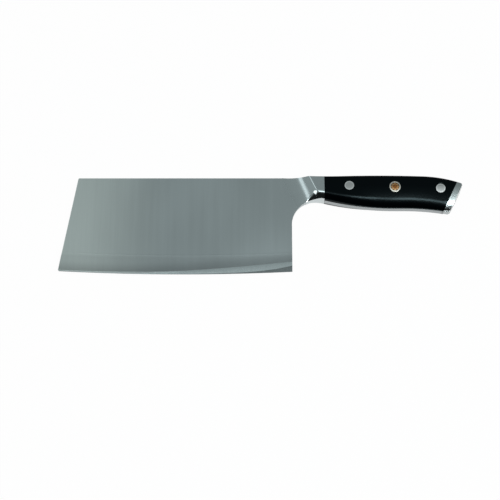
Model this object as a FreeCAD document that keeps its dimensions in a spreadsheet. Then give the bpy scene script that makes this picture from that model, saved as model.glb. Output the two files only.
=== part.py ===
import FreeCAD, Part

import math
import os

import Sketcher

# Cleaver with a full tang, lying on its side.
#
# The knife is drawn about its own datum: X = 0 is the face where the bolster meets the
# scales, with the tip at -X and the butt at +X; Y = 0 is the line of the spine, with the
# cutting edge at -Y; Z = 0 is the middle plane of the blade and of the tang.
# Every sub-part then gets one common Placement that puts the origin at the middle of the
# underside of the box round the whole knife. Millimetres and degrees.

SIZES = [
    # blade
    ("blade_length", 177.4, "cutting edge, heel to tip"),
    ("blade_depth", 80.3, "spine to the lowest point of the edge"),
    ("blade_half", 1.2, "half the thickness of the blade"),
    ("tip_setback", 11.4, "how far the spine ends behind the edge at the tip"),
    ("tip_corner", 1.2, "rounding of the two tip corners"),
    ("edge_radius", 1650.0, "sweep of the cutting edge"),
    ("edge_low", 83.0, "heel to the lowest point of the edge"),
    ("spine_chamfer", 0.25, "broken corners of spine and heel"),
    # ground faces, at the heel, below the low point and at the tip
    ("grind_height", 15.0, "height of the primary grind"),
    ("land_half", 0.06, "half the width of the edge itself"),
    ("bevel_heel", 7.8, "height of the bevel at the heel"),
    ("bevel_mid", 2.8, "height of the bevel at the low point"),
    ("bevel_tip", 1.0, "height of the bevel at the tip"),
    ("shoulder_heel", 0.88, "half thickness at the top of the bevel, heel"),
    ("shoulder_mid", 0.52, "half thickness at the top of the bevel, low point"),
    ("shoulder_tip", 0.36, "half thickness at the top of the bevel, tip"),
    ("hone_heel", 3.8, "height of the honed facet at the heel"),
    ("hone_mid", 1.0, "height of the honed facet at the low point"),
    ("hone_tip", 0.4, "height of the honed facet at the tip"),
    ("honed_heel", 0.56, "half thickness at the top of the honed facet, heel"),
    ("honed_mid", 0.24, "half thickness at the top of the honed facet, low point"),
    ("honed_tip", 0.17, "half thickness at the top of the honed facet, tip"),
    # outline of the handle, seen from the side
    ("choil_centre", 5.2, "centre of the choil ahead of the bolster joint"),
    ("choil_radius", 20.0, "radius between heel and handle"),
    ("throat_depth", 19.1, "depth of the handle at the choil"),
    ("belly_reach", 54.0, "bolster joint to the deepest point of the belly"),
    ("belly_drop", 7.3, "belly below the throat"),
    ("waist_length", 8.0, "straight stretch behind the belly"),
    ("flare_radius", 178.0, "hollow of the underside towards the butt"),
    ("neck_reach", 2.0, "bolster joint to the lowest point of the top line"),
    ("neck_drop", 1.5, "top line below the spine at the neck"),
    ("neck_radius", 408.0, "hollow of the top line over the bolster"),
    ("crown_reach", 40.0, "neck to crown of the top line"),
    ("crown_rise", 0.57, "crown above the neck"),
    ("tail_reach", 76.0, "bolster joint to the start of the tail's curve"),
    ("tail_radius", 95.0, "curve of the top line towards the butt"),
    # thickness and section of the handle
    ("handle_half", 9.4, "half the thickness of the handle"),
    ("under_rounding", 6.8, "rounding of the underside"),
    ("top_rounding", 2.4, "rounding of the top edges"),
    # bolster
    ("feather_top", 32.5, "front of the bolster at the spine, ahead of the joint"),
    ("feather_slant", 23.7, "lean of the bolster's front"),
    ("tongue_relief", 0.1, "each cheek let into the blade's face"),
    ("cheek_radius", 27.8, "hollow of each cheek"),
    ("fork_depth", 14.0, "end of the blade's tongue, ahead of the joint"),
    ("mortise_depth", 9.0, "depth of the mortise for the tang"),
    ("tongue_top", 5.0, "top of the tang's front tongue below the spine"),
    ("tongue_height", 10.0, "height of the tang's front tongue"),
    # tang and end cap
    ("tang_half", 2.3, "half the thickness of the tang"),
    ("tang_proud", 0.35, "tang below the scales at the belly"),
    ("cap_reach", 106.0, "bolster joint to the cap's front face, at the spine"),
    ("cap_slant", 26.4, "lean of the cap's faces"),
    ("cap_length", 5.0, "length of the cap"),
    ("cap_socket", 2.6, "depth of the socket for the tang"),
    ("rear_tongue_top", 12.0, "top of the tang's rear tongue below the spine"),
    ("rear_tongue_height", 9.0, "height of the tang's rear tongue"),
    ("cap_bevel", 1.1, "bevel round the butt"),
    # rivets and mosaic pin
    ("front_pin_reach", 19.2, "bolster joint to the front rivet"),
    ("front_pin_drop", 9.9, "spine to the front rivet"),
    ("mosaic_drop", 11.0, "spine to the mosaic pin"),
    ("rear_pin_setback", 16.5, "rear rivet to the cap's front face, at the spine"),
    ("rear_pin_drop", 12.2, "spine to the rear rivet"),
    ("head_radius", 3.6, "head of a rivet"),
    ("head_depth", 2.4, "depth of a rivet's head below the widest side"),
    ("shank_radius", 2.5, "hollow shank of a rivet"),
    ("stud_radius", 1.5, "stud that is driven into the shank"),
    ("stud_gap", 0.6, "room beyond the end of the stud"),
    ("pin_clearance", 0.03, "gap round a pin in its hole"),
    ("mosaic_radius", 4.3, "outside of the mosaic pin's tube"),
    ("mosaic_bore", 3.35, "bore of the mosaic pin's tube"),
    ("core_radius", 1.42, "middle rod of the mosaic"),
    ("rod_radius", 0.86, "outer rods of the mosaic"),
    ("rod_gap", 0.05, "resin between the middle rod and the outer rods"),
]
RODS = 8
FORM_FRONT = 45.0  # the handle's form is drawn past both of its ends and then cut
FORM_REAR = 113.0
REACH = 60.0  # cutting tools reach this far past the knife

doc = FreeCAD.newDocument("Cleaver")
sheet = doc.addObject("Spreadsheet::Sheet", "Sizes")


class Size:
    """A length that is both a number and the sheet formula that gives it."""

    def __init__(self, text, number):
        self.text = text
        self.number = number

    def combine(self, other, sign, number, flipped=False):
        texts = [self.text, as_size(other).text]
        if flipped:
            texts.reverse()
        return Size("(" + sign.join(texts) + ")", number)

    def __add__(self, other):
        return self.combine(other, " + ", self.number + as_size(other).number)

    def __sub__(self, other):
        return self.combine(other, " - ", self.number - as_size(other).number)

    def __rsub__(self, other):
        return self.combine(other, " - ", as_size(other).number - self.number, True)

    def __mul__(self, other):
        return self.combine(other, " * ", self.number * as_size(other).number)

    def __truediv__(self, other):
        return self.combine(other, " / ", self.number / as_size(other).number)

    def __neg__(self):
        return Size("(0 - " + self.text + ")", -self.number)

    __radd__ = __add__
    __rmul__ = __mul__


def as_size(value):
    if isinstance(value, Size):
        return value
    return Size(repr(float(value)), float(value))


def root(size):
    return Size("sqrt(" + size.text + ")", math.sqrt(size.number))


def tangent(degrees):
    return Size("tan(" + degrees.text + ")", math.tan(math.radians(degrees.number)))


def fill_sheet():
    """Writes every driving size to its own named cell, and returns them by name."""
    sizes = {}
    for row, (name, number, note) in enumerate(SIZES, start=1):
        sheet.set("A%d" % row, note)
        sheet.set("B%d" % row, str(number))
        sheet.setAlias("B%d" % row, name)
        sizes[name] = Size("Sizes." + name, number)
    return sizes


s = fill_sheet()
doc.recompute()

# Places that several sub-parts share, each worked out once from the sizes above.
choil_x = -s["choil_centre"]
choil_y = -(s["throat_depth"] + s["choil_radius"])
heel_x = choil_x - s["choil_radius"]
tip_x = heel_x - s["blade_length"]
edge_low_x = heel_x - s["edge_low"]
edge_centre_y = s["edge_radius"] - s["blade_depth"]
neck_y = s["neck_radius"] - s["neck_drop"]
waist_x = s["belly_reach"] + s["waist_length"]
tongue_half = s["blade_half"] - s["tongue_relief"]
slope_of_front = tangent(s["feather_slant"])
rear_pin_x = s["cap_reach"] - s["rear_pin_setback"]
pin_places = {
    "front": (s["front_pin_reach"], -s["front_pin_drop"]),
    "rear": (rear_pin_x, -s["rear_pin_drop"]),
}
mosaic_x = (s["front_pin_reach"] + rear_pin_x) * 0.5
mosaic_y = -s["mosaic_drop"]
mosaic_ring = s["core_radius"] + s["rod_gap"] + s["rod_radius"]
head_seat = s["handle_half"] - s["head_depth"]


def side_y(circle_y, radius, offset, above):
    """Height of an arc at a distance along X from its centre."""
    rise = root(radius * radius - offset * offset)
    if above:
        return circle_y + rise
    return circle_y - rise


def edge_y(x):
    return side_y(edge_centre_y, s["edge_radius"], x - edge_low_x, False)


def neck_top(x):
    return side_y(neck_y, s["neck_radius"], x - s["neck_reach"], False)


# the slanted butt: X of its plane at the spine, and the box round the knife
slope = tangent(s["cap_slant"])
butt_x = s["cap_reach"] + s["cap_length"]

# ---------------------------------------------------------------- drawing helpers


def new_body(name):
    body = doc.addObject("PartDesign::Body", name)
    body.Label = name
    return body


def new_sketch(body, role, name, offset=None):
    """A sketch on one of the body's own origin planes, moved along its normal."""
    sketch = body.newObject("Sketcher::SketchObject", name)
    plane = [part for part in body.Origin.OriginFeatures if part.Role == role][0]
    sketch.AttachmentSupport = [(plane, "")]
    sketch.MapMode = "FlatFace"
    if offset is not None:
        sketch.setExpression("AttachmentOffset.Base.z", offset.text)
    return sketch


def bind(sketch, kind, *where, size):
    number = sketch.addConstraint(Sketcher.Constraint(kind, *where, size.number))
    sketch.setExpression("Constraints[%d]" % number, size.text)


def arc_between(start, end, radius, side):
    """The short arc from start to end whose middle lies left (1) or right (-1) of the way.
    A sketch wants its arcs anticlockwise, so one with its middle at the right is turned."""
    chord = end - start
    away = math.sqrt(max(radius**2 - (chord.Length / 2) ** 2, 0.0))
    left = FreeCAD.Vector(-chord.y, chord.x, 0) / chord.Length
    centre = (start + end) / 2 + left * away * side
    first, last = (start, end) if side > 0 else (end, start)
    from_angle = math.atan2(first.y - centre.y, first.x - centre.x)
    to_angle = math.atan2(last.y - centre.y, last.x - centre.x)
    if to_angle < from_angle:
        to_angle += 2 * math.pi
    circle = Part.Circle(centre, FreeCAD.Vector(0, 0, 1), radius)
    return Part.ArcOfCircle(circle, from_angle, to_angle)


def draw_loop(sketch, corners):
    """Draws a closed loop. A corner is (x, y) and starts a straight side, or
    (x, y, radius, side) and starts an arc, as arc_between takes them."""
    first = sketch.GeometryCount
    count = len(corners)
    points = [FreeCAD.Vector(corner[0].number, corner[1].number, 0) for corner in corners]
    ends = []
    for index, corner in enumerate(corners):
        start, end = points[index], points[(index + 1) % count]
        if len(corner) == 2:
            sketch.addGeometry(Part.LineSegment(start, end), False)
            ends.append((1, 2))
        else:
            sketch.addGeometry(arc_between(start, end, corner[2].number, corner[3]), False)
            ends.append((1, 2) if corner[3] > 0 else (2, 1))
    for index in range(count):
        following = (index + 1) % count
        here = (first + index, ends[index][1])
        there = (first + following, ends[following][0])
        sketch.addConstraint(Sketcher.Constraint("Coincident", *here, *there))
    for index, corner in enumerate(corners):
        place = (-1, 1, first + index, ends[index][0])
        bind(sketch, "DistanceX", *place, size=corner[0])
        bind(sketch, "DistanceY", *place, size=corner[1])
        if len(corner) == 4:
            bind(sketch, "Radius", first + index, size=corner[2])


def pad(body, sketch, name, length, symmetric=True):
    feature = body.newObject("PartDesign::Pad", name)
    feature.Profile = sketch
    feature.Type = "Length"
    if symmetric:
        feature.SideType = "Symmetric"
    feature.setExpression("Length", as_size(length).text)
    body.Tip = feature
    doc.recompute()
    return feature


def pocket(body, sketch, name, depth):
    """Cuts the sketch into the body, down from its plane."""
    before = body.Shape.Volume
    feature = body.newObject("PartDesign::Pocket", name)
    feature.Profile = sketch
    feature.setExpression("Length", depth.text)
    body.Tip = feature
    doc.recompute()
    if not feature.Shape.Volume < before:
        raise RuntimeError(name + " cuts nothing")
    return feature


def pocket_through(body, sketch, name):
    """Cuts the sketch through the whole body, to both sides of its plane."""
    before = body.Shape.Volume
    feature = body.newObject("PartDesign::Pocket", name)
    feature.Profile = sketch
    feature.Type = "ThroughAll"
    feature.SideType = "Symmetric"
    body.Tip = feature
    doc.recompute()
    if not feature.Shape.Volume < before:
        raise RuntimeError(name + " cuts nothing")
    return feature


def dress_edges(kind, body, name, wanted):
    """A fillet or chamfer on the edges of the body that the test picks out."""
    base = body.Tip
    names = []
    for index, edge in enumerate(base.Shape.Edges, start=1):
        if wanted(edge):
            names.append("Edge%d" % index)
    if not names:
        raise RuntimeError(name + " finds no edges")
    feature = body.newObject(kind, name)
    feature.Base = (base, names)
    body.Tip = feature
    return feature


def round_edges(body, name, radius, wanted):
    dress_edges("PartDesign::Fillet", body, name, wanted).setExpression("Radius", radius.text)
    doc.recompute()


def bevel_edges(body, name, width, wanted):
    dress_edges("PartDesign::Chamfer", body, name, wanted).setExpression("Size", width.text)
    doc.recompute()


def middle_of(edge):
    return edge.valueAt((edge.FirstParameter + edge.LastParameter) / 2)


def box(name, x1, x2, y1, y2, z1, z2):
    """A Part box between two corners that are given as sizes."""
    block = doc.addObject("Part::Box", name)
    x1, x2, y1, y2, z1, z2 = [as_size(value) for value in (x1, x2, y1, y2, z1, z2)]
    block.setExpression("Length", (x2 - x1).text)
    block.setExpression("Width", (y2 - y1).text)
    block.setExpression("Height", (z2 - z1).text)
    block.setExpression("Placement.Base.x", x1.text)
    block.setExpression("Placement.Base.y", y1.text)
    block.setExpression("Placement.Base.z", z1.text)
    return block


def rod(name, x, y, radius, z1, z2):
    """A round bar along Z."""
    bar = doc.addObject("Part::Cylinder", name)
    z1, z2 = as_size(z1), as_size(z2)
    bar.setExpression("Radius", as_size(radius).text)
    bar.setExpression("Height", (z2 - z1).text)
    bar.setExpression("Placement.Base.x", x.text)
    bar.setExpression("Placement.Base.y", y.text)
    bar.setExpression("Placement.Base.z", z1.text)
    return bar


def common(name, *shapes):
    result = doc.addObject("Part::MultiCommon", name)
    result.Shapes = list(shapes)
    result.Label = name
    return result


def fuse(name, *shapes):
    result = doc.addObject("Part::MultiFuse", name)
    result.Shapes = list(shapes)
    result.Label = name
    return result


def cut(name, base, tool):
    result = doc.addObject("Part::Cut", name)
    result.Base = base
    result.Tool = tool
    result.Label = name
    return result


# ---------------------------------------------------------------- handle form


def under_side(proud):
    """Centre height, radius and end of the belly's arc, and the line behind it."""
    drop = s["belly_drop"] + proud
    run = s["belly_reach"] - choil_x
    fall = s["choil_radius"] - drop
    radius = (run * run + fall * fall - s["choil_radius"] * s["choil_radius"]) / (2.0 * drop)
    low_y = -(s["throat_depth"] + drop)
    share = s["choil_radius"] / (s["choil_radius"] + radius)
    join_x = choil_x + run * share
    join_y = choil_y + (low_y + radius - choil_y) * share
    return low_y, radius, join_x, join_y


def handle_outline(sketch, proud):
    """The whole handle from the side: top line, butt, underside and choil."""
    front = as_size(-FORM_FRONT)
    rear = as_size(FORM_REAR)
    low_y, belly_radius, join_x, join_y = under_side(as_size(proud))
    # top line: a hollow over the bolster, a long crown, and the tail's curve
    reach, rise = s["crown_reach"], s["crown_rise"]
    both = (reach * reach + rise * rise) / (2.0 * rise)
    crown_radius = both - s["neck_radius"]
    crown_x = s["neck_reach"] + reach
    crown_y = rise - s["neck_drop"] - crown_radius
    turn_x = s["neck_reach"] + reach * s["neck_radius"] / both
    turn_y = neck_y + (crown_y - neck_y) * s["neck_radius"] / both
    tail_y = side_y(crown_y, crown_radius, s["tail_reach"] - crown_x, True)
    inward = s["tail_radius"] / crown_radius
    tail_centre_x = s["tail_reach"] + (crown_x - s["tail_reach"]) * inward
    tail_centre_y = tail_y + (crown_y - tail_y) * inward
    tail_end_y = side_y(tail_centre_y, s["tail_radius"], rear - tail_centre_x, True)
    flare_y = side_y(low_y - s["flare_radius"], s["flare_radius"], rear - waist_x, True)
    draw_loop(
        sketch,
        [
            (front, neck_top(front), s["neck_radius"], 1),
            (turn_x, turn_y, crown_radius, -1),
            (s["tail_reach"], tail_y, s["tail_radius"], -1),
            (rear, tail_end_y),
            (rear, flare_y, s["flare_radius"], 1),
            (waist_x, low_y),
            (s["belly_reach"], low_y, belly_radius, -1),
            (join_x, join_y, s["choil_radius"], 1),
            (heel_x, choil_y),
            (front, choil_y),
        ],
    )


def make_handle_form():
    """The outside of the finished handle as one solid. Bolster, tang, scales and cap are
    all cut from it, so that they are flush with each other as after grinding."""
    body = new_body("handle_form")
    outline = new_sketch(body, "XY_Plane", "handle_outline")
    handle_outline(outline, 0.0)
    pad(body, outline, "handle_blank", s["handle_half"] * 2.0)

    def lengthwise(edge):
        box_of = edge.BoundBox
        if abs(middle_of(edge).z) < s["handle_half"].number / 2:
            return False
        return box_of.XMax < FORM_REAR and box_of.XMin > -FORM_FRONT or box_of.XLength > 3.0

    def under(edge):
        middle = middle_of(edge)
        on_front = middle.x < heel_x.number
        return lengthwise(edge) and not on_front and middle.y < -s["throat_depth"].number / 2

    def above(edge):
        return lengthwise(edge) and middle_of(edge).y > -s["throat_depth"].number * 0.6

    round_edges(body, "underside", s["under_rounding"], under)
    round_edges(body, "top_edges", s["top_rounding"], above)
    butt = new_sketch(body, "XY_Plane", "butt_line")
    top = as_size(REACH)
    draw_loop(
        butt,
        [
            (butt_x + slope * top, top),
            (butt_x - slope * top, -top),
            (butt_x + top * 2.0, -top),
            (butt_x + top * 2.0, top),
        ],
    )
    pocket_through(body, butt, "butt")
    lean = math.radians(s["cap_slant"].number)
    plane_point = FreeCAD.Vector(butt_x.number, 0, 0)
    plane_normal = FreeCAD.Vector(math.cos(lean), -math.sin(lean), 0)

    def on_butt(edge):
        ends = [edge.valueAt(edge.FirstParameter), middle_of(edge)]
        return all(abs((end - plane_point).dot(plane_normal)) < 1e-4 for end in ends)

    bevel_edges(body, "butt_edges", s["cap_bevel"], on_butt)
    return body


# ---------------------------------------------------------------- blade


def grind_section(sketch, x, bevel, shoulder, hone, honed):
    """One section of what the grinding takes off, in a plane across the blade."""
    edge = edge_y(x)
    half = s["blade_half"]
    over = 0.3  # the grind's line is carried this share of its length past the face
    grind, land = s["grind_height"], s["land_half"]
    top_y = edge + grind + (grind - bevel) * over
    top_z = half + (half - shoulder) * over
    low_y = edge - hone
    low_z = land - (honed - land)
    outside = half + 1.5
    draw_loop(
        sketch,
        [
            (top_y, top_z),
            (edge + bevel, shoulder),
            (edge + hone, honed),
            (low_y, low_z),
            (low_y, outside),
            (top_y, outside),
        ],
    )


def make_blade():
    body = new_body("blade")
    outline = new_sketch(body, "XY_Plane", "blade_outline")
    fork_x = -s["fork_depth"]
    lift = s["neck_radius"] - s["neck_drop"]
    meet_x = s["neck_reach"] - root(s["neck_radius"] * s["neck_radius"] - lift * lift)
    zero = as_size(0.0)
    throat_y = side_y(choil_y, s["choil_radius"], fork_x - choil_x, True)
    draw_loop(
        outline,
        [
            (tip_x + s["tip_setback"], zero),
            (meet_x, zero, s["neck_radius"], 1),
            (fork_x, neck_top(fork_x)),
            (fork_x, throat_y, s["choil_radius"], 1),
            (heel_x, choil_y),
            (heel_x, edge_y(heel_x), s["edge_radius"], -1),
            (tip_x, edge_y(tip_x)),
        ],
    )
    pad(body, outline, "blade_blank", s["blade_half"] * 2.0)

    def at_tip_corner(edge):
        middle = middle_of(edge)
        return middle.x < (tip_x + s["tip_setback"]).number + 0.01 and abs(middle.z) < 0.01

    round_edges(body, "tip_corners", s["tip_corner"], at_tip_corner)

    def at_outline(edge):
        middle = middle_of(edge)
        on_face = abs(abs(middle.z) - s["blade_half"].number) < 1e-4
        spine = abs(middle.y) < 1e-4 and edge.Length > s["blade_length"].number / 2
        tip = middle.x < (tip_x + s["tip_setback"]).number and middle.y > -s["blade_depth"].number * 0.75
        heel = abs(middle.x - heel_x.number) < 1e-4
        return on_face and edge.Length > 5 and (spine or tip or heel)

    bevel_edges(body, "broken_corners", s["spine_chamfer"], at_outline)
    stations = [
        (heel_x + 3.0, "heel"),
        (edge_low_x, "mid"),
        (tip_x - 3.0, "tip"),
    ]
    sections = []
    for x, place in stations:
        section = new_sketch(body, "YZ_Plane", "grind_" + place, x)
        names = ("bevel_", "shoulder_", "hone_", "honed_")
        grind_section(section, x, *[s[name + place] for name in names])
        sections.append(section)
    before = body.Shape.Volume
    seat = new_sketch(body, "XY_Plane", "cheek_seat", s["blade_half"])
    top, low = s["blade_half"], s["blade_depth"]
    draw_loop(
        seat,
        [
            (-s["feather_top"] - slope_of_front * top, top),
            (-s["feather_top"] + slope_of_front * low, -low),
            (low, -low),
            (low, top),
        ],
    )
    relief = pocket(body, seat, "cheek_relief", s["tongue_relief"])
    grind = body.newObject("PartDesign::SubtractiveLoft", "ground_face")
    grind.Profile = sections[0]
    grind.Sections = sections[1:]
    grind.Ruled = False
    body.Tip = grind
    doc.recompute()
    one_side = before - body.Shape.Volume
    mirror = body.newObject("PartDesign::Mirrored", "second_ground_face")
    mirror.Originals = [relief, grind]
    plane = [part for part in body.Origin.OriginFeatures if part.Role == "XY_Plane"][0]
    mirror.MirrorPlane = (plane, [""])
    body.Tip = mirror
    doc.recompute()
    both_sides = before - body.Shape.Volume
    if one_side <= 0 or abs(both_sides / one_side - 2.0) > 0.05:
        raise RuntimeError("the two sides of the blade aren't ground alike")
    return body


# ---------------------------------------------------------------- bolster, tang and cap


def make_cheeks():
    """The hollow-sided wedge that gives the bolster its flare, leaning with its front."""
    body = new_body("cheeks")
    sketch = new_sketch(body, "XZ_Plane", "cheek_profile")
    half = s["blade_half"]
    wide = half + s["cheek_radius"]
    far = as_size(REACH * 2)
    zero = as_size(0.0)
    draw_loop(
        sketch,
        [
            (zero, half, s["cheek_radius"], 1),
            (s["cheek_radius"], wide),
            (far, wide),
            (far, -wide),
            (s["cheek_radius"], -wide, s["cheek_radius"], 1),
            (zero, -half),
        ],
    )
    pad(body, sketch, "cheek_block", as_size(REACH * 4))
    body.setExpression("Placement.Rotation.Angle", s["feather_slant"].text)
    body.setExpression("Placement.Base.x", (-s["feather_top"]).text)
    return body


def tongue_box(name, x1, x2, top, height):
    """One of the tang's tongues, which the mortise that takes it fits all round."""
    half = s["tang_half"]
    return box(name, x1, x2, -(top + height), -top, -half, half)


def front_tongue(name):
    return tongue_box(name, -s["mortise_depth"], 1.0, s["tongue_top"], s["tongue_height"])


def make_bolster(form, cheeks):
    away = as_size(REACH)
    half = tongue_half
    front = box("bolster_stretch", -FORM_FRONT, 0.0, -away, away, -away, away)
    block = common("bolster_block", form, cheeks, front)
    fork = box("bolster_fork", -away, -s["fork_depth"], -away, away, -half, half)
    mortise = front_tongue("bolster_mortise")
    return cut("bolster", block, fuse("bolster_slots", fork, mortise))


def cap_side(name, x, width):
    """A plate between two planes that lean like the end cap, as thick as width along X."""
    body = new_body(name)
    sketch = new_sketch(body, "XY_Plane", name + "_outline")
    top = as_size(REACH)
    draw_loop(
        sketch,
        [
            (x + slope * top, top),
            (x + slope * top + width, top),
            (x - slope * top + width, -top),
            (x - slope * top, -top),
        ],
    )
    pad(body, sketch, name + "_block", as_size(REACH))
    return body


def make_end_cap(form):
    behind = cap_side("cap_stretch", s["cap_reach"], as_size(REACH))
    block = common("cap_block", form, behind)
    return cut("end_cap", block, tang_end("cap_socket_room"))


def tang_end(name):
    """The short tongue that the tang carries into the end cap."""
    leaning = cap_side(name + "_lean", s["cap_reach"] - 1.0, s["cap_socket"] + 1.0)
    top, height = s["rear_tongue_top"], s["rear_tongue_height"]
    bar = tongue_box(name + "_bar", s["tail_reach"], butt_x + 5.0, top, height)
    return common(name, leaning, bar)


def grip_stretch(name, low_z, high_z):
    """The stretch between bolster and end cap, between two heights."""
    body = new_body(name)
    sketch = new_sketch(body, "XY_Plane", name + "_outline", low_z)
    top = as_size(REACH)
    zero = as_size(0.0)
    reach = s["cap_reach"]
    draw_loop(
        sketch,
        [(zero, -top), (reach - slope * top, -top), (reach + slope * top, top), (zero, top)],
    )
    pad(body, sketch, name + "_block", high_z - low_z, symmetric=False)
    return body


def pin_holes(name):
    """The three holes through scales and tang, with seats for the rivets' heads."""
    gap = s["pin_clearance"]
    away = as_size(REACH)
    bars = []
    for place, (x, y) in pin_places.items():
        label = name + "_" + place
        bars.append(rod(label + "_shank", x, y, s["shank_radius"] + gap, -away, away))
        bars.append(rod(label + "_near", x, y, s["head_radius"] + gap, head_seat, away))
        bars.append(rod(label + "_far", x, y, s["head_radius"] + gap, -away, -head_seat))
    mosaic = s["mosaic_radius"] + gap
    bars.append(rod(name + "_mosaic", mosaic_x, mosaic_y, mosaic, -away, away))
    return fuse(name, *bars)


def make_tang(holes):
    body = new_body("tang_plate")
    sketch = new_sketch(body, "XY_Plane", "tang_outline")
    handle_outline(sketch, s["tang_proud"])
    pad(body, sketch, "tang_block", s["tang_half"] * 2.0)
    half = s["tang_half"]
    stretch = grip_stretch("tang_stretch", -half, half)
    plate = common("tang_blank", body, stretch)
    front = front_tongue("tang_front_tongue")
    whole = fuse("tang_with_tongues", plate, front, tang_end("tang_rear_tongue"))
    return cut("tang", whole, holes)


def make_scale(name, form, holes, low_z, high_z):
    """One scale, between the tang and the outside of the handle."""
    stretch = grip_stretch(name + "_stretch", as_size(low_z), as_size(high_z))
    return cut(name, common(name + "_block", form, stretch), holes)


# ---------------------------------------------------------------- rivets and mosaic pin


def make_rivet(form, place):
    """A two-piece rivet: a head with a hollow shank, and a head with a stud driven in."""
    x, y = pin_places[place]
    away = as_size(REACH)
    name = "rivet_" + place
    head = rod(name + "_socket_head", x, y, s["head_radius"], head_seat, away)
    shank = rod(name + "_shank", x, y, s["shank_radius"], -head_seat, head_seat)
    bore = rod(name + "_bore", x, y, s["stud_radius"], -head_seat - 1.0, head_seat)
    socket_blank = fuse(name + "_socket_blank", head, shank)
    socket_bored = cut(name + "_socket_bored", socket_blank, bore)
    socket = common(name + "_socket", form, socket_bored)
    far_head = rod(name + "_stud_head", x, y, s["head_radius"], -away, -head_seat)
    stud = rod(name + "_stem", x, y, s["stud_radius"], -head_seat, head_seat - s["stud_gap"])
    stud_blank = fuse(name + "_stud_blank", far_head, stud)
    return socket, common(name + "_stud", form, stud_blank)


def make_mosaic(form):
    """A steel tube filled with rods set in resin, ground flush on both sides."""
    x, y = mosaic_x, mosaic_y
    away = as_size(REACH)
    tube = cut(
        "mosaic_tube_blank",
        rod("mosaic_outside", x, y, s["mosaic_radius"], -away, away),
        rod("mosaic_inside", x, y, s["mosaic_bore"], -away, away),
    )
    core = rod("mosaic_core_bar", x, y, s["core_radius"], -away, away)
    ring = []
    for index in range(RODS):
        turn = math.radians(360.0 / RODS * index)
        rod_x = x + mosaic_ring * math.cos(turn)
        rod_y = y + mosaic_ring * math.sin(turn)
        name = "mosaic_rod_%d" % index
        ring.append(rod(name, rod_x, rod_y, s["rod_radius"], -away, away))
    rods = fuse("mosaic_rod_set", *ring)
    filling = rod("mosaic_filling", x, y, s["mosaic_bore"], -away, away)
    resin = cut("mosaic_resin_blank", filling, fuse("mosaic_metal", rods, core))
    return {
        "mosaic_tube": common("mosaic_tube", form, tube),
        "mosaic_core": common("mosaic_core", form, core),
        "mosaic_rods": common("mosaic_rods", form, rods),
        "mosaic_resin": common("mosaic_resin", form, resin),
    }


# ---------------------------------------------------------------- the knife


def measured(value):
    return as_size(round(value, 4))


def lay_down(part, blade, form):
    """Puts a sub-part where it belongs, with the origin under the middle of the knife."""
    tip = measured(blade.Shape.optimalBoundingBox(False, False).XMin)
    rear = measured(form.Shape.optimalBoundingBox(False, False).XMax)
    part.setExpression("Placement.Base.x", (-(tip + rear) / 2.0).text)
    part.setExpression("Placement.Base.y", (s["blade_depth"] / 2.0).text)
    part.setExpression("Placement.Base.z", s["handle_half"].text)


form = make_handle_form()
holes = pin_holes("pin_holes")
parts = {"blade": make_blade()}
parts["bolster"] = make_bolster(form, make_cheeks())
parts["end_cap"] = make_end_cap(form)
parts["tang"] = make_tang(holes)
parts["scale_near"] = make_scale("scale_near", form, holes, s["tang_half"], REACH)
parts["scale_far"] = make_scale("scale_far", form, holes, -REACH, -s["tang_half"])
for place in ("front", "rear"):
    socket, stud = make_rivet(form, place)
    parts["rivet_%s_socket" % place] = socket
    parts["rivet_%s_stud" % place] = stud
parts.update(make_mosaic(form))
doc.recompute()

for part in parts.values():
    lay_down(part, parts["blade"], form)
doc.recompute()

for item in doc.Objects:
    if "Invalid" in item.State or "Error" in item.State:
        raise RuntimeError(item.Name + " failed")
for name, part in parts.items():
    if part.Shape.isNull() or not part.Shape.isValid():
        raise RuntimeError(name + " isn't a sound shape")

os.makedirs("parts", exist_ok=True)
for name, part in parts.items():
    part.Shape.exportStep("parts/" + name + ".step")
    size = part.Shape.optimalBoundingBox(False, False)
    solids = len(part.Shape.Solids)
    print("%-20s %d  %7.2f %7.2f %7.2f" % (name, solids, size.XLength, size.YLength, size.ZLength))
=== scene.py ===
"""Finishes a meat cleaver: ground blade, flared bolster, riveted scales, mosaic pin and end cap."""

import math
from bisect import bisect_left

import bpy
from bpy.props import FloatProperty, FloatVectorProperty, PointerProperty
from bpy.types import Operator, Panel, PropertyGroup
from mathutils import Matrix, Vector


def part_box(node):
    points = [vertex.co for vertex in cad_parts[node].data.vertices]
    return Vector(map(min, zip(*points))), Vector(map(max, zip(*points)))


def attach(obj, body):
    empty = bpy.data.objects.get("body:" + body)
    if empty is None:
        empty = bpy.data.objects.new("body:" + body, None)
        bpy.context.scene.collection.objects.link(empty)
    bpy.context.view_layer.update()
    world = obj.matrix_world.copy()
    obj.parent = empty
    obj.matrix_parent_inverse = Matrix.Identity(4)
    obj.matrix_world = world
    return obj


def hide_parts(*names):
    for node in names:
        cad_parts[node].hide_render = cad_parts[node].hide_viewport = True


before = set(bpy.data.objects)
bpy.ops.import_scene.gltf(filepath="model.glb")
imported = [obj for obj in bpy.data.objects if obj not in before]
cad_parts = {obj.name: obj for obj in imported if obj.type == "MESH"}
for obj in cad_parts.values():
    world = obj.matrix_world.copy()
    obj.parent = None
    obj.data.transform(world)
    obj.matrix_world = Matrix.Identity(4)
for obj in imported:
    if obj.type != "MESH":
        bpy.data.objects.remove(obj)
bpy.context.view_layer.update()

bl_info = {
    "name": "Meat Cleaver Finish",
    "version": (1, 0, 0),
    "blender": (4, 5, 0),
    "location": "3D View > Sidebar > Cleaver",
    "description": "Finishes a cleaver's blade, bolster, handle and pins",
    "category": "Object",
}

BODY = "root"
RIVETS = ("rivet_front_socket", "rivet_front_stud", "rivet_rear_socket", "rivet_rear_stud")

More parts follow.
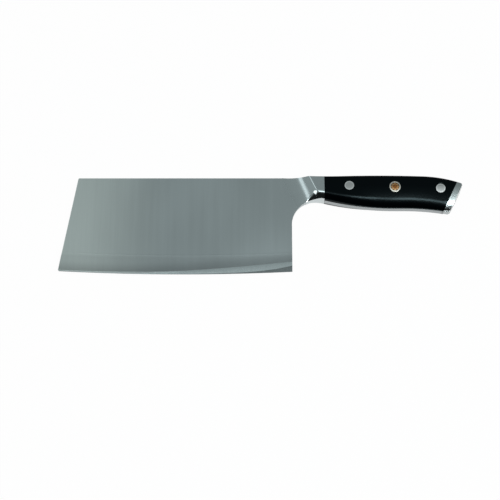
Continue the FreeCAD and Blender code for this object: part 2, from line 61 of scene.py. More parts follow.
# The blade's plan, which the finish of its faces follows.
blade_low, blade_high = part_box("blade")
BLADE_LENGTH = 0.1774
EDGE_LOW = 0.083  # the edge's lowest point, ahead of the heel
EDGE_RADIUS = 1.65
BLADE_HALF = (blade_high[2] - blade_low[2]) / 2
heel_x = blade_low[0] + BLADE_LENGTH
edge_low_x = heel_x - EDGE_LOW
edge_centre_y = blade_low[1] + EDGE_RADIUS
mid_z = (blade_low[2] + blade_high[2]) / 2
spine_y = blade_high[1]

# The blade's faces, painted by height above the edge and by distance from the tip: painted shade down
# the grind, a painted highlight on the bevel, painted shade on the honed edge and painted light
# towards the tip.
GRIND_HEIGHT = 0.015
GRIND_SOFT_BELOW = 0.003
GRIND_SOFT_ABOVE = 0.002
GRIND_PAINTED_SHADE = 0.010  # painted shade: the grind is painted darkest at the bevel, and lightens over this height
BEVEL_SOFTNESS = 0.0002
HONE_LEAST = 0.0004
HONE_POWER = 5.6  # how fast the honed edge narrows away from the heel
# painted light: the blade's colour is lifted towards the tip, in place of the brighter reflection
# there
TIP_PAINTED_LIGHT = (1.45, 1.42, 1.36, 1.0)
TIP_PAINTED_LIGHT_START = 0.09
TIP_PAINTED_LIGHT_FULL = 0.01

# How often each grain repeats to the metre, along X, Y and Z.
SATIN_LINES = (1900.0, 30.0, 60.0)
SATIN_STREAKS = (230.0, 9.0, 20.0)
SATIN_CLOUDS = (17.0, 9.0, 9.0)
BOLSTER_GRAIN = (300.0, 900.0, 900.0)
CAP_GRAIN = (900.0, 400.0, 900.0)
TANG_GRAIN = (200.0, 900.0, 900.0)
PIN_GRAIN = (900.0, 900.0, 900.0)
POLISH_CLOUDS = (60.0, 60.0, 60.0)
RESIN_HAZE = (90.0, 260.0, 260.0)
RESIN_MARKS = (300.0, 2600.0, 900.0)
TURNED_MARKS = (2200.0, 500.0, 500.0)
FILLING_SPECKS = (1500.0, 1500.0, 1500.0)

# How deep each grain cuts.
SATIN_DEPTH = 0.00001
POLISH_DEPTH = 0.000002
RESIN_DEPTH = 0.000008
TURNED_DEPTH = 0.000006

# A rivet's ground end, whose rim is painted lighter as a painted highlight. The rim begins and is
# full at shares of the radius.
RIM_PAINTED_HIGHLIGHT = 1.45
RIM_START = 0.70
RIM_FULL = 0.92

# The handle, whose flat sides are rounded here towards the underside.
TANG_HALF = 0.0023
joint_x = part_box("scale_near")[0][0]
widest_x = joint_x + 0.06
SIDE_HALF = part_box("scale_near")[1][2] - mid_z
UNDER_ROUNDING = 0.0068
CROWN_RUN = 0.045  # the crown grows over this length, behind the bolster
CROWN_POWER = 1.4
CREST_SOFTNESS = 0.0011

# The bolster's creased side: a flat, then a shallow ramp, then a steep belly.
RAMP_LEAN = math.radians(19.0)
RAMP_HEIGHT = 0.0060  # the top of the shallow ramp, above the underside
RAMP_SOFTNESS = 0.0010
BELLY_LEAN = math.radians(46.0)
BELLY_FOOT = 0.0004
BELLY_HALF = 0.0052  # half the bolster's thickness just above its underside
SIDE_SOFTNESS = 0.0005

# The bolster's hollow cheeks, which rise from a slanted feather line on the blade.
FEATHER_TOP = 0.0325
FEATHER_SLANT = math.radians(23.7)
CHEEK_RADIUS = 0.0278
CHEEK_START = 0.0085  # the crease starts this far behind the feather line, along the choil
CHEEK_RUN = 0.0080  # and reaches its full height over this length
CHEEK_QUICKNESS = 3.0  # the cheek takes on the crease this many times sooner than its height
LEAST_SHARE = 0.0001  # keeps a division from zero where the crease starts
NO_LIMIT = 1.0  # a thickness or a height that no piece reaches

# How the skins are cut and smoothed.
SMOOTH_ANGLE = 28.0  # degrees, below which two faces are shaded as one curve
BROKEN_EDGE = 0.00012
BROKEN_RIVET = 0.0003
MERGE_DISTANCE = 0.000002
FLAT_WITHIN = math.radians(0.1)
SLICE = 0.0015
SLICE_FINE = 0.0009
SLICE_FIRST = 0.0004  # the lowest cut along a piece, above its lowest point
BOLSTER_SLICE = 0.0004
CAP_SLICE = 0.0006
FINE_PIECE = 0.001  # a piece cut closer than this is cut as closely over its whole height
UNDERSIDE_STEPS = 400
BESIDE_BLADE = 0.0001  # the underside is looked for this far outside the blade's face
BESIDE_TANG = 0.0004  # and this far outside the tang's face

# The stage: lamps by their lean across and down, in degrees, then their width and height.
WHITE = (1.0, 1.0, 1.0, 1.0)
LAMPS = {
    "key": (18.5, 17.0, 0.38, 0.44),
    "side": (-1.0, 17.0, 0.6, 0.44),
    "tip": (-38.7, -8.5, 0.13, 0.5),
}
LAMP_DISTANCE = 1.4
LAMP_COLOUR = (0.90, 0.98, 1.0)
ROOM_COLOUR = (0.88, 0.99, 1.0)
# The room's level at each lean from straight up, in degrees, towards the camera where positive.
ROOM_LEVELS = (
    (-150.0, 0.6),
    (-110.0, 0.08),
    (-75.0, 0.08),
    (-50.0, 0.30),
    (-24.0, 0.36),
    (0.0, 0.44),
    (28.0, 0.28),
    (42.0, 0.012),
    (97.0, 0.012),
    (115.0, 0.8),
)
# A bright patch past the tip, by its reach towards -X and its place in the room's turn.
PATCH_SIDE = (0.58, 0.72)
PATCH_START = (0.545, 0.57)
PATCH_END = (0.66, 0.70)
PATCH_COLOUR = (1.9, 2.0, 2.0, 1.0)
TABLE_SIZE = 6.0
TABLE_COLOUR = (0.85, 0.85, 0.85, 1.0)
TABLE_GLOW = 0.975
AIM = (-0.0018, 0.0007, mid_z)
SENSOR_WIDTH = 36.0
LENS = 93.75
LENS_SHIFT = (-0.02, -0.05)


# ---------------------------------------------------------------- shader maths


class Value:
    """A socket of a node tree, on which arithmetic adds Math nodes."""

    def __init__(self, graph, socket):
        self.graph = graph
        self.socket = socket

    def math(self, operation, first, second):
        settings = {"operation": operation}
        return self.graph.add("ShaderNodeMath", settings, {0: first, 1: second})[0]

    def __add__(self, other):
        return self.math("ADD", self, other)

    def __sub__(self, other):
        return self.math("SUBTRACT", self, other)

    def __rsub__(self, other):
        return self.math("SUBTRACT", other, self)

    def __mul__(self, other):
        return self.math("MULTIPLY", self, other)

    def __truediv__(self, other):
        return self.math("DIVIDE", self, other)

    def __pow__(self, other):
        return self.math("POWER", self, other)

    __radd__ = __add__
    __rmul__ = __mul__


class Graph:
    """The node tree of one material or of the world."""

    def __init__(self, owner):
        owner.use_nodes = True
        self.tree = owner.node_tree
        self.tree.nodes.clear()

    def add(self, kind, settings=None, inputs=None):
        """Adds a node, its settings first, then the values or links of its sockets."""
        node = self.tree.nodes.new(kind)
        for name, value in (settings or {}).items():
            if name == "stops":
                set_stops(node.color_ramp, value)
            else:
                setattr(node, name, value)
        for name, value in (inputs or {}).items():
            if isinstance(value, Value):
                self.tree.links.new(value.socket, node.inputs[name])
            else:
                node.inputs[name].default_value = value
        found = {output.name: Value(self, output) for output in node.outputs}
        found.update({index: Value(self, output) for index, output in enumerate(node.outputs)})
        return found

    def place(self, centre=(0.0, 0.0, 0.0), scale=(1.0, 1.0, 1.0)):
        """Object coordinates from a centre, stretched by a scale."""
        coords = self.add("ShaderNodeTexCoord")["Object"]
        shift = [-where * times for where, times in zip(centre, scale)]
        inputs = {"Vector": coords, "Location": shift, "Scale": scale}
        return self.add("ShaderNodeMapping", None, inputs)[0]

    def noise(self, scale, detail=2.0, centre=(0.0, 0.0, 0.0), roughness=0.5):
        """Noise from 0 to 1, with as many waves to the metre as scale says along each axis."""
        inputs = {
            "Vector": self.place(centre, scale),
            "Scale": 1.0,
            "Detail": detail,
            "Roughness": roughness,
        }
        return self.add("ShaderNodeTexNoise", None, inputs)[0]

    def axes(self, vector):
        return self.add("ShaderNodeSeparateXYZ", None, {0: vector})

    def step(self, value, low, high):
        """0 below low, 1 above high, and smooth between."""
        settings = {"interpolation_type": "SMOOTHSTEP"}
        inputs = {"Value": value, "From Min": low, "From Max": high}
        return self.add("ShaderNodeMapRange", settings, inputs)[0]

    def mix(self, share, first, second):
        """A colour between two, by a share from 0 to 1."""
        inputs = {0: share, 6: first, 7: second}
        return self.add("ShaderNodeMix", {"data_type": "RGBA"}, inputs)[2]

    def times(self, first, second):
        """Two colours multiplied."""
        settings = {"operation": "MULTIPLY"}
        return self.add("ShaderNodeVectorMath", settings, {0: first, 1: second})[0]

    def dimmed(self, colour, value):
        """A colour times a value."""
        grey = self.add("ShaderNodeCombineXYZ", None, {0: value, 1: value, 2: value})[0]
        return self.times(colour, grey)

    def bump(self, height, depth, strength):
        inputs = {"Strength": strength, "Distance": depth, "Height": height}
        return self.add("ShaderNodeBump", None, inputs)[0]

    def surface(self, shader, target="ShaderNodeOutputMaterial"):
        self.add(target, None, {"Surface": shader})

    def principled(self, **inputs):
        named = {name.replace("_", " "): value for name, value in inputs.items()}
        self.surface(self.add("ShaderNodeBsdfPrincipled", None, named)[0])


def set_stops(ramp, stops):
    """Gives a colour ramp its stops, as pairs of a place and a colour."""
    while len(ramp.elements) > 1:
        ramp.elements.remove(ramp.elements[-1])
    for index, (place, colour) in enumerate(stops):
        stop = ramp.elements[0] if index == 0 else ramp.elements.new(place)
        stop.position = place
        stop.color = colour


def shaded(colour, times):
    """A colour with a value for alpha, made lighter or darker."""
    return tuple(min(1.0, part * times) for part in colour) + (1.0,)


def new_material(name):
    material = bpy.data.materials.new(name)
    return material, Graph(material)


# ---------------------------------------------------------------- materials


def blade_finish(look):
    """Satin steel with painted shade down the grind, a bevel painted lighter as a painted highlight
    and a honed edge painted darker as painted shade, both narrowing from the heel, and painted light
    towards the tip.
    """
    material, graph = new_material("blade_steel")
    place = graph.axes(graph.place())
    x, y = place["X"], place["Y"]
    lines = graph.noise(SATIN_LINES, 3.0)
    streaks = graph.noise(SATIN_STREAKS)
    clouds = graph.noise(SATIN_CLOUDS, roughness=0.4)
    across = (x - edge_low_x) ** 2.0 + (y - edge_centre_y) ** 2.0
    above_edge = EDGE_RADIUS - across ** 0.5
    run = 1.0 - (heel_x - x) / look.bevel_run
    run = run.math("MAXIMUM", run, 0.0)
    bevel_top = run * look.bevel_height
    hone_top = run ** HONE_POWER * look.hone_height + HONE_LEAST
    in_bevel = 1.0 - graph.step(above_edge - bevel_top, -BEVEL_SOFTNESS, BEVEL_SOFTNESS)
    in_hone = 1.0 - graph.step(above_edge - hone_top, -BEVEL_SOFTNESS, BEVEL_SOFTNESS)
    grind_low = GRIND_HEIGHT - GRIND_SOFT_BELOW
    grind_high = GRIND_HEIGHT + GRIND_SOFT_ABOVE
    in_grind = 1.0 - graph.step(above_edge, grind_low, grind_high)
    grind_painted_shade = 1.0 - graph.step(above_edge - bevel_top, 0.0, GRIND_PAINTED_SHADE)
    tone = graph.step(clouds * 0.8 + streaks * 0.2, 0.36, 0.64)
    satin = graph.mix(tone, shaded(look.steel, 0.92), shaded(look.steel, 1.09))
    lined = graph.mix(lines * 0.35, satin, shaded(look.steel, 0.8))
    # painted light: the steel is painted lighter towards the tip, in place of a brighter reflection
    tip_painted_light_share = graph.step(x, blade_low[0] + TIP_PAINTED_LIGHT_START, blade_low[0] + TIP_PAINTED_LIGHT_FULL)
    lighter = graph.times(lined, graph.mix(tip_painted_light_share, WHITE, TIP_PAINTED_LIGHT))
    # painted shade: the grind and the band just above the bevel are painted darker
    above = graph.dimmed(lighter, 1.0 - in_grind * 0.18 - grind_painted_shade * 0.24)
    # painted highlight: the bevel is painted lighter than the faces above it
    bevel = graph.mix(lines * 0.2, shaded(look.steel, 1.08), shaded(look.steel, 0.98))
    ground = graph.mix(in_bevel, above, bevel)
    # painted shade: the honed edge is painted darker
    colour = graph.mix(in_hone, ground, shaded(look.steel, 0.44))
    rough = look.satin_roughness + lines * 0.08 - in_bevel * 0.1
    normal = graph.bump(lines + streaks * 0.5, SATIN_DEPTH, 0.35)
    graph.principled(Base_Color=colour, Metallic=1.0, Roughness=rough, Normal=normal)
    return material


def polished_metal(name, colour, roughness, grain):
    """Metal polished by hand, with faint lines along the way it was rubbed."""
    material, graph = new_material(name)
    lines = graph.noise(grain, 3.0)
    clouds = graph.noise(POLISH_CLOUDS)
    tone = graph.mix(clouds * 0.7 + lines * 0.3, shaded(colour, 0.9), shaded(colour, 1.1))
    rough = roughness + lines * 0.06
    normal = graph.bump(lines, POLISH_DEPTH, 0.3)
    graph.principled(Base_Color=tone, Metallic=1.0, Roughness=rough, Normal=normal)
    return material


def grip_finish(look):
    """Black resin, ground with the steel and polished, with faint wear."""
    material, graph = new_material("grip_resin")
    haze = graph.noise(RESIN_HAZE, 3.0)
    marks = graph.noise(RESIN_MARKS)
    tone = graph.mix(haze, shaded(look.resin, 0.7), shaded(look.resin, 1.5))
    rough = look.resin_roughness + haze * 0.05 + marks * 0.03
    normal = graph.bump(haze * 0.7 + marks * 0.3, RESIN_DEPTH, 0.25)
    graph.principled(
        Base_Color=tone,
        Roughness=rough,
        Normal=normal,
        Specular_IOR_Level=0.10,
        Specular_Tint=(0.72, 0.95, 1.0, 1.0),
    )
    return material


def ground_disc(name, colour, centre, radius, roughness):
    """The end of a pin, ground flush, with fine lines and a rim painted lighter as a painted
    highlight.
    """
    material, graph = new_material(name)
    place = graph.axes(graph.place(centre))
    out = (place["X"] ** 2.0 + place["Y"] ** 2.0) ** 0.5 / radius
    marks = graph.noise(TURNED_MARKS, 3.0, centre)
    tone = graph.mix(marks * 0.6, shaded(colour, 1.06), shaded(colour, 0.86))
    # painted highlight: the rim is painted lighter
    tone = graph.mix(graph.step(out, RIM_START, RIM_FULL), tone, shaded(colour, RIM_PAINTED_HIGHLIGHT))
    rough = roughness + marks * 0.08
    normal = graph.bump(marks, TURNED_DEPTH, 0.3)
    graph.principled(Base_Color=tone, Metallic=1.0, Roughness=rough, Normal=normal)
    return material


def resin_fill(colour):
    """The dark resin between the rods of the mosaic pin."""
    material, graph = new_material("pin_resin")
    specks = graph.noise(FILLING_SPECKS)
    tone = graph.mix(specks, shaded(colour, 0.7), shaded(colour, 1.4))
    graph.principled(Base_Color=tone, Roughness=0.3 + specks * 0.1)
    return material


# ---------------------------------------------------------------- pieces


def select_only(piece):
    bpy.ops.object.select_all(action="DESELECT")
    piece.select_set(True)
    bpy.context.view_layer.objects.active = piece


def underside_of_handle():
    """Height of the handle's underside at places along it, found by looking up from below."""
    nodes = [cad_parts[name] for name in ("bolster", "scale_near", "end_cap")]
    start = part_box("bolster")[0][0]
    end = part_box("end_cap")[0][0]
    inside = 0.01  # a share of one step, which keeps both ends off the pieces' own ends
    found = []
    for index in range(UNDERSIDE_STEPS + 1):
        x = start + (end - start) * (index + inside) / (UNDERSIDE_STEPS + 2 * inside)
        heights = []
        for out in (BLADE_HALF + BESIDE_BLADE, TANG_HALF + BESIDE_TANG):
            below = (x, -NO_LIMIT, mid_z + out)
            hits = [node.ray_cast(below, (0.0, 1.0, 0.0)) for node in nodes]
            heights.extend(place.y for hit, place, _normal, _face in hits if hit)
        if heights:
            found.append((x, min(heights)))
    return found


def between(table, x):
    """The table's height at x, in line between its places."""
    index = bisect_left(table, (x,))
    if index in (0, len(table)):
        return table[min(index, len(table) - 1)][1]
    x1, y1 = table[index - 1]
    x2, y2 = table[index]
    return y1 + (y2 - y1) * (x - x1) / (x2 - x1)


def slice_along(axis, start, end, spacing):
    """Cuts the skin in evenly spaced planes across one axis, so that it can bend there."""
    normal = [0.0, 0.0, 0.0]
    normal[axis] = 1.0
    for index in range(int((end - start) / spacing) + 1):
        place = [0.0, 0.0, 0.0]
        place[axis] = start + index * spacing
        bpy.ops.mesh.select_all(action="SELECT")
        bpy.ops.mesh.bisect(plane_co=place, plane_no=normal)


def softer_of(first, second, blend):
    """The lesser of two lengths, rounded over where they are nearly alike."""
    share = min(1.0, max(0.0, 0.5 + 0.5 * (second - first) / blend))
    return second + (first - second) * share - blend * share * (1.0 - share)


def creased_side(up):
    """Half the handle's thickness at the bolster, at a height above the underside."""
    ramp = SIDE_HALF - max(0.0, RAMP_HEIGHT - up) * math.tan(RAMP_LEAN)
    belly = BELLY_HALF + (up - BELLY_FOOT) * math.tan(BELLY_LEAN)
    return softer_of(softer_of(belly, ramp, RAMP_SOFTNESS), SIDE_HALF, SIDE_SOFTNESS)


def side_at(x, y, look):
    """Half the handle's thickness at a place on its side.

    At the bolster the side has its crease. Behind it the crease fades into a crown that draws the
    sides in towards the underside, and the whole side swells a little along the handle.
    """
    low = between(underside, x)
    up = max(0.0, y - low)
    creased = creased_side(up)
    drop = max(0.0, UNDER_ROUNDING - up)
    flat = SIDE_HALF - UNDER_ROUNDING
    rounded = flat + math.sqrt(max(0.0, UNDER_ROUNDING**2 - drop**2))
    depth = min(1.0, max(0.0, (look.crown_start - y) / (look.crown_start - low)))
    crowned = TANG_HALF + (rounded - TANG_HALF) * (1.0 - look.crown * depth**CROWN_POWER)
    along = min(1.0, max(0.0, (x - joint_x) / CROWN_RUN))
    along = along * along * (3.0 - 2.0 * along)
    section = creased + (crowned - creased) * along
    swell = (x - widest_x) ** 2 / (2 * look.swell_radius) / (SIDE_HALF - TANG_HALF)
    return TANG_HALF + (section - TANG_HALF) * (1.0 - swell)


def hollow_at(x, y):
    """Half the bolster's thickness where its cheeks are hollow, and creased along the choil."""
    behind = x - joint_x + FEATHER_TOP + (y - spine_y) * math.tan(FEATHER_SLANT)
    behind *= math.cos(FEATHER_SLANT)
    if not 0.0 < behind < CHEEK_RADIUS:
        return BLADE_HALF if behind <= 0.0 else NO_LIMIT
    hollow = CHEEK_RADIUS - math.sqrt(CHEEK_RADIUS**2 - behind**2)
    share = min(1.0, max(0.0, (behind - CHEEK_START) / CHEEK_RUN))
    up = max(0.0, y - between(underside, x)) / (share + LEAST_SHARE)
    section = (creased_side(up) - BLADE_HALF) / (SIDE_HALF - BLADE_HALF)
    return BLADE_HALF + hollow * (1.0 - (1.0 - section) * min(1.0, share * CHEEK_QUICKNESS))


def crown_sides(piece, look, spacing, top):
    """Rounds the flat sides towards the underside and lets them swell along the handle.

    The skin is first cut across at every spacing, and along, more closely below top than above.
    """
    points = [vertex.co for vertex in piece.data.vertices]
    low = [min(point[axis] for point in points) for axis in range(3)]
    high = [max(point[axis] for point in points) for axis in range(3)]
    bpy.ops.object.mode_set(mode="EDIT")
    slice_along(0, low[0] + spacing / 2, high[0], spacing)
    slice_along(1, low[1] + SLICE_FIRST, min(high[1], top), min(spacing, SLICE_FINE))
    slice_along(1, top, high[1], SLICE)
    bpy.ops.object.mode_set(mode="OBJECT")
    for vertex in piece.data.vertices:
        x, y, z = vertex.co
        crest = softer_of(hollow_at(x, y), side_at(x, y, look), CREST_SOFTNESS)
        vertex.co.z = mid_z + math.copysign(min(abs(z - mid_z), crest), z - mid_z)


def finished_copy(node, material, angle=SMOOTH_ANGLE, broken=BROKEN_EDGE, look=None, spacing=SLICE):
    """A CAD node as one closed skin, with its flats whole, its edges broken and its curves smooth.

    A piece of the handle is given a look, and its sides are crowned by it.
    """
    smooth_angle = math.radians(angle)
    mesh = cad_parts[node].data.copy()
    mesh.materials.clear()
    mesh.materials.append(material)
    piece = bpy.data.objects.new(node + "_finished", mesh)
    bpy.context.scene.collection.objects.link(piece)
    select_only(piece)
    bpy.ops.object.mode_set(mode="EDIT")
    bpy.ops.mesh.select_all(action="SELECT")
    bpy.ops.mesh.remove_doubles(threshold=MERGE_DISTANCE)
    bpy.ops.mesh.dissolve_limited(angle_limit=FLAT_WITHIN)
    bpy.ops.object.mode_set(mode="OBJECT")
    if broken:
        bevel = piece.modifiers.new("broken_edges", "BEVEL")
        bevel.width = broken
        bevel.segments = 2
        bevel.limit_method = "ANGLE"
        bevel.angle_limit = smooth_angle
        bpy.ops.object.modifier_apply(modifier=bevel.name)
    if look:
        crown_sides(piece, look, spacing, NO_LIMIT if spacing < FINE_PIECE else look.crown_start)
    bpy.ops.object.shade_smooth_by_angle(angle=smooth_angle)
    weights = piece.modifiers.new("flat_faces_lead", "WEIGHTED_NORMAL")
    weights.keep_sharp = True
    bpy.ops.object.modifier_apply(modifier=weights.name)
    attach(piece, BODY)
    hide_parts(node)
    return piece


def node_centre(node):
    low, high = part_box(node)
    return [(a + b) / 2 for a, b in zip(low, high)]


# Found once, before any piece is made, and read wherever a side is rounded.
underside = underside_of_handle()


# ---------------------------------------------------------------- settings


def colour_property(name, description, default):
    return FloatVectorProperty(
        name=name,
        description=description,
        subtype="COLOR",
        size=3,
        min=0.0,
        max=1.0,
        default=default,
    )


def length_property(name, description, default):
    return FloatProperty(name=name, description=description, default=default, unit="LENGTH")


def share_property(name, description, default):
    return FloatProperty(
        name=name, description=description, default=default, min=0.0, max=1.0, subtype="FACTOR"
    )


class BladeLook(PropertyGroup):
    steel: colour_property("Steel", "Colour of the blade's satin steel", (0.51, 0.56, 0.565))
    satin_roughness: share_property("Satin", "Roughness of the satin faces", 0.30)
    bevel_height: length_property("Bevel", "Height of the bevel at the heel", 0.0080)
    hone_height: length_property("Hone", "Height of the honed edge at the heel", 0.0044)
    bevel_run: length_property("Bevel run", "How far the bevel runs from the heel", 0.125)


class HandleLook(PropertyGroup):
    resin: colour_property("Resin", "Colour of the handle scales", (0.0002, 0.0006, 0.0010))
    resin_roughness: share_property("Gloss", "Roughness of the scales", 0.14)
    bolster: colour_property("Bolster", "Colour of the bolster's steel", (0.55, 0.60, 0.605))
    cap: colour_property("End cap", "Colour of the end cap's steel", (0.42, 0.455, 0.455))
    tang: colour_property("Tang", "Colour of the tang's steel", (0.33, 0.355, 0.36))
    polish: share_property("Polish", "Roughness of the bolster's steel", 0.09)
    cap_polish: share_property("Cap polish", "Roughness of the end cap's steel", 0.20)
    tang_polish: share_property("Tang polish", "Roughness of the tang's steel", 0.24)
    crown: share_property("Crown", "How far the sides draw in at the underside", 0.60)
    crown_start: length_property("Crown start", "Height at which the sides begin to round", 0.0297)
    swell_radius: length_property("Swell", "Radius of the swell along the sides", 2.6)


class PinLook(PropertyGroup):
    rivet: colour_property("Rivet", "Colour of the rivets", (0.58, 0.58, 0.57))
    rivet_polish: share_property("Rivet polish", "Roughness of the rivets' ends", 0.26)
    tube: colour_property("Tube", "Colour of the mosaic pin's tube", (0.72, 0.68, 0.60))
    brass: colour_property("Brass", "Colour of the mosaic pin's rods", (0.58, 0.31, 0.13))
    core: colour_property("Core", "Colour of the mosaic pin's core", (0.30, 0.11, 0.03))
    resin: colour_property("Resin", "Colour of the resin round the rods", (0.010, 0.007, 0.005))


class StudioLook(PropertyGroup):
    camera_height: FloatProperty(
        name="Camera height",
        description="Angle of the camera above the floor",
        default=math.radians(66.0),
        subtype="ANGLE",
    )
    camera_distance: length_property("Distance", "From the camera to the knife", 1.0)
    key_power: FloatProperty(
        name="Key lamp", description="Power of the large soft lamp", default=9.0, subtype="POWER"
    )
    side_power: FloatProperty(
        name="Side lamp", description="Power of the lamp beside the key", default=1.6, subtype="POWER"
    )
    tip_power: FloatProperty(
        name="Tip lamp", description="Power of the lamp past the tip", default=0.17, subtype="POWER"
    )


LOOKS = {
    "cleaver_blade": BladeLook,
    "cleaver_handle": HandleLook,
    "cleaver_pins": PinLook,
    "cleaver_studio": StudioLook,
}


# ---------------------------------------------------------------- operators


class CLEAVER_OT_blade(Operator):
    """Give the blade its satin faces, grind, bevel and honed edge"""

    bl_idname = "cleaver.blade"
    bl_label = "Blade"

    def execute(self, context):
        material = blade_finish(context.scene.cleaver_blade)
        finished_copy("blade", material, angle=3.0, broken=0.0)
        return {"FINISHED"}


class CLEAVER_OT_bolster(Operator):
    """Round and polish the bolster"""

    bl_idname = "cleaver.bolster"
    bl_label = "Bolster"

    def execute(self, context):
        look = context.scene.cleaver_handle
        steel = polished_metal("bolster_steel", look.bolster, look.polish, BOLSTER_GRAIN)
        finished_copy("bolster", steel, angle=50.0, look=look, spacing=BOLSTER_SLICE)
        return {"FINISHED"}


class CLEAVER_OT_end_cap(Operator):
    """Round and polish the end cap, and polish the tang"""

    bl_idname = "cleaver.end_cap"
    bl_label = "End cap and tang"

    def execute(self, context):
        look = context.scene.cleaver_handle
        steel = polished_metal("cap_steel", look.cap, look.cap_polish, CAP_GRAIN)
        finished_copy("end_cap", steel, angle=40.0, look=look, spacing=CAP_SLICE)
        steel = polished_metal("tang_steel", look.tang, look.tang_polish, TANG_GRAIN)
        finished_copy("tang", steel, broken=0.0)
        return {"FINISHED"}


class CLEAVER_OT_scales(Operator):
    """Round and polish the two scales of the handle"""

    bl_idname = "cleaver.scales"
    bl_label = "Scales"

    def execute(self, context):
        look = context.scene.cleaver_handle
        resin = grip_finish(look)
        for node in ("scale_near", "scale_far"):
            finished_copy(node, resin, broken=0.0, look=look)
        return {"FINISHED"}


class CLEAVER_OT_rivets(Operator):
    """Finish the ground ends of the rivets"""

    bl_idname = "cleaver.rivets"
    bl_label = "Rivets"

    def execute(self, context):
        look = context.scene.cleaver_pins
        shape = context.scene.cleaver_handle
        for node in RIVETS:
            low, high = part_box(node)
            radius = (high[0] - low[0]) / 2
            steel = ground_disc(node, look.rivet, node_centre(node), radius, look.rivet_polish)
            finished_copy(node, steel, broken=BROKEN_RIVET, look=shape)
        return {"FINISHED"}


class CLEAVER_OT_mosaic(Operator):
    """Finish the tube, rods, core and resin of the mosaic pin"""

    bl_idname = "cleaver.mosaic"
    bl_label = "Mosaic pin"

    def execute(self, context):
        look = context.scene.cleaver_pins
        shape = context.scene.cleaver_handle
        metals = {
            "mosaic_tube": ("pin_tube_steel", look.tube, 0.25),
            "mosaic_rods": ("pin_brass", look.brass, 0.28),
            "mosaic_core": ("pin_copper", look.core, 0.35),
        }
        for node, (slot, colour, roughness) in metals.items():
            metal = polished_metal(slot, colour, roughness, PIN_GRAIN)
            finished_copy(node, metal, look=shape)
        filling = resin_fill(look.resin)
        finished_copy("mosaic_resin", filling, broken=0.0, look=shape)
        return {"FINISHED"}


def studio_world(scene):
    """A pale room for the camera, and a softly graded one for light and reflections."""
    world = bpy.data.worlds.new("studio")
    scene.world = world
    graph = Graph(world)
    way = graph.axes(graph.add("ShaderNodeTexCoord")["Generated"])
    lean = way["Z"].math("ARCTAN2", 0.0 - way["Y"], way["Z"])
    place = lean / (2.0 * math.pi) + 0.5
    turns = [(degrees / 360.0 + 0.5, level) for degrees, level in ROOM_LEVELS]
    stops = [(turn, (level, level, level, 1.0)) for turn, level in turns]
    room = graph.add("ShaderNodeValToRGB", {"stops": stops}, {"Fac": place})[0]
    lit = graph.times(room, ROOM_COLOUR)
    in_patch = graph.step(0.0 - way["X"], *PATCH_SIDE) * graph.step(place, *PATCH_START)
    in_patch = in_patch * (1.0 - graph.step(place, *PATCH_END))
    lit = graph.mix(in_patch, lit, PATCH_COLOUR)
    seen = graph.add("ShaderNodeLightPath")["Is Camera Ray"]
    colour = graph.mix(seen, lit, WHITE)
    shader = graph.add("ShaderNodeBackground", None, {"Color": colour, "Strength": 1.0})[0]
    graph.surface(shader, "ShaderNodeOutputWorld")


def studio_floor():
    """A white table that keeps only a faint shadow."""
    bpy.ops.mesh.primitive_plane_add(size=TABLE_SIZE, location=(0.0, 0.0, 0.0))
    floor = bpy.context.active_object
    floor.name = "floor"
    material, graph = new_material("white_table")
    paper = graph.add("ShaderNodeBsdfDiffuse", None, {"Color": TABLE_COLOUR})[0]
    glow = graph.add("ShaderNodeEmission", None, {"Color": WHITE})[0]
    rays = graph.add("ShaderNodeLightPath")
    seen = rays["Is Camera Ray"]
    seen = seen.math("MAXIMUM", seen, rays["Is Glossy Ray"])
    seen = seen.math("MAXIMUM", seen, rays["Is Transmission Ray"])
    shader = graph.add("ShaderNodeMixShader", None, {0: seen * TABLE_GLOW, 1: paper, 2: glow})[0]
    graph.surface(shader)
    floor.data.materials.append(material)


def soft_lamp(name, across, down, width, height, power):
    """An area lamp that looks at the aim, leaning across towards +X and down towards the camera."""
    way = (
        math.sin(across) * math.cos(down),
        -math.sin(down),
        math.cos(across) * math.cos(down),
    )
    place = [a + LAMP_DISTANCE * b for a, b in zip(AIM, way)]
    lamp = bpy.data.lights.new(name, "AREA")
    lamp.shape = "RECTANGLE"
    lamp.size = width
    lamp.size_y = height
    lamp.energy = power
    lamp.color = LAMP_COLOUR
    holder = bpy.data.objects.new(name, lamp)
    holder.location = place
    holder.rotation_euler = Vector(way).to_track_quat("Z", "Y").to_euler()
    bpy.context.scene.collection.objects.link(holder)


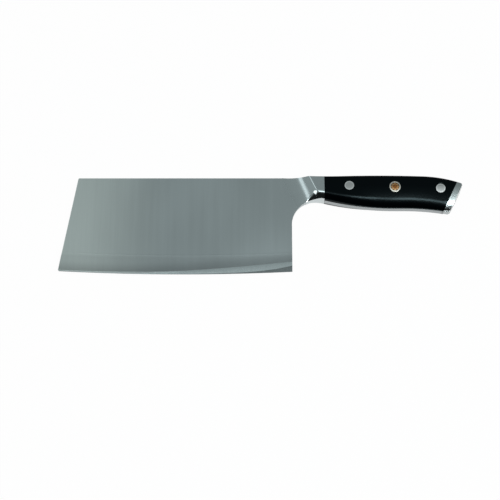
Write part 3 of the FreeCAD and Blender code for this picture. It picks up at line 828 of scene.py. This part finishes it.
class CLEAVER_OT_studio(Operator):
    """Set the table, the room, the lamps and the camera"""

    bl_idname = "cleaver.studio"
    bl_label = "Studio"

    def execute(self, context):
        scene = context.scene
        look = scene.cleaver_studio
        scene.view_settings.view_transform = "Standard"
        studio_floor()
        studio_world(scene)
        for name, (across, down, width, height) in LAMPS.items():
            power = getattr(look, name + "_power")
            soft_lamp(name, math.radians(across), math.radians(down), width, height, power)
        lens = bpy.data.cameras.new("camera")
        lens.sensor_width = SENSOR_WIDTH
        lens.lens = LENS
        lens.shift_x, lens.shift_y = LENS_SHIFT
        camera = bpy.data.objects.new("camera", lens)
        back = look.camera_distance * math.cos(look.camera_height)
        rise = look.camera_distance * math.sin(look.camera_height)
        camera.location = (AIM[0], AIM[1] - back, AIM[2] + rise)
        camera.rotation_euler = (math.pi / 2 - look.camera_height, 0.0, 0.0)
        scene.collection.objects.link(camera)
        scene.camera = camera
        return {"FINISHED"}


OPERATORS = (
    CLEAVER_OT_blade,
    CLEAVER_OT_bolster,
    CLEAVER_OT_end_cap,
    CLEAVER_OT_scales,
    CLEAVER_OT_rivets,
    CLEAVER_OT_mosaic,
    CLEAVER_OT_studio,
)


class CLEAVER_PT_finish(Panel):
    """Lists the steps that finish the cleaver"""

    bl_idname = "CLEAVER_PT_finish"
    bl_label = "Cleaver"
    bl_space_type = "VIEW_3D"
    bl_region_type = "UI"
    bl_category = "Cleaver"

    def draw(self, context):
        for name in LOOKS:
            look = getattr(context.scene, name)
            for field in look.bl_rna.properties.keys():
                if field not in ("rna_type", "name"):
                    self.layout.prop(look, field)
        for operator in OPERATORS:
            self.layout.operator(operator.bl_idname)


def register():
    for group in (*LOOKS.values(), *OPERATORS, CLEAVER_PT_finish):
        bpy.utils.register_class(group)
    for name, group in LOOKS.items():
        setattr(bpy.types.Scene, name, PointerProperty(type=group))


def unregister():
    for name in LOOKS:
        delattr(bpy.types.Scene, name)
    for group in reversed((*LOOKS.values(), *OPERATORS, CLEAVER_PT_finish)):
        bpy.utils.unregister_class(group)


def main():
    register()
    for operator in OPERATORS:
        area, name = operator.bl_idname.split(".")
        getattr(getattr(bpy.ops, area), name)()


if __name__ == "__main__":
    main()
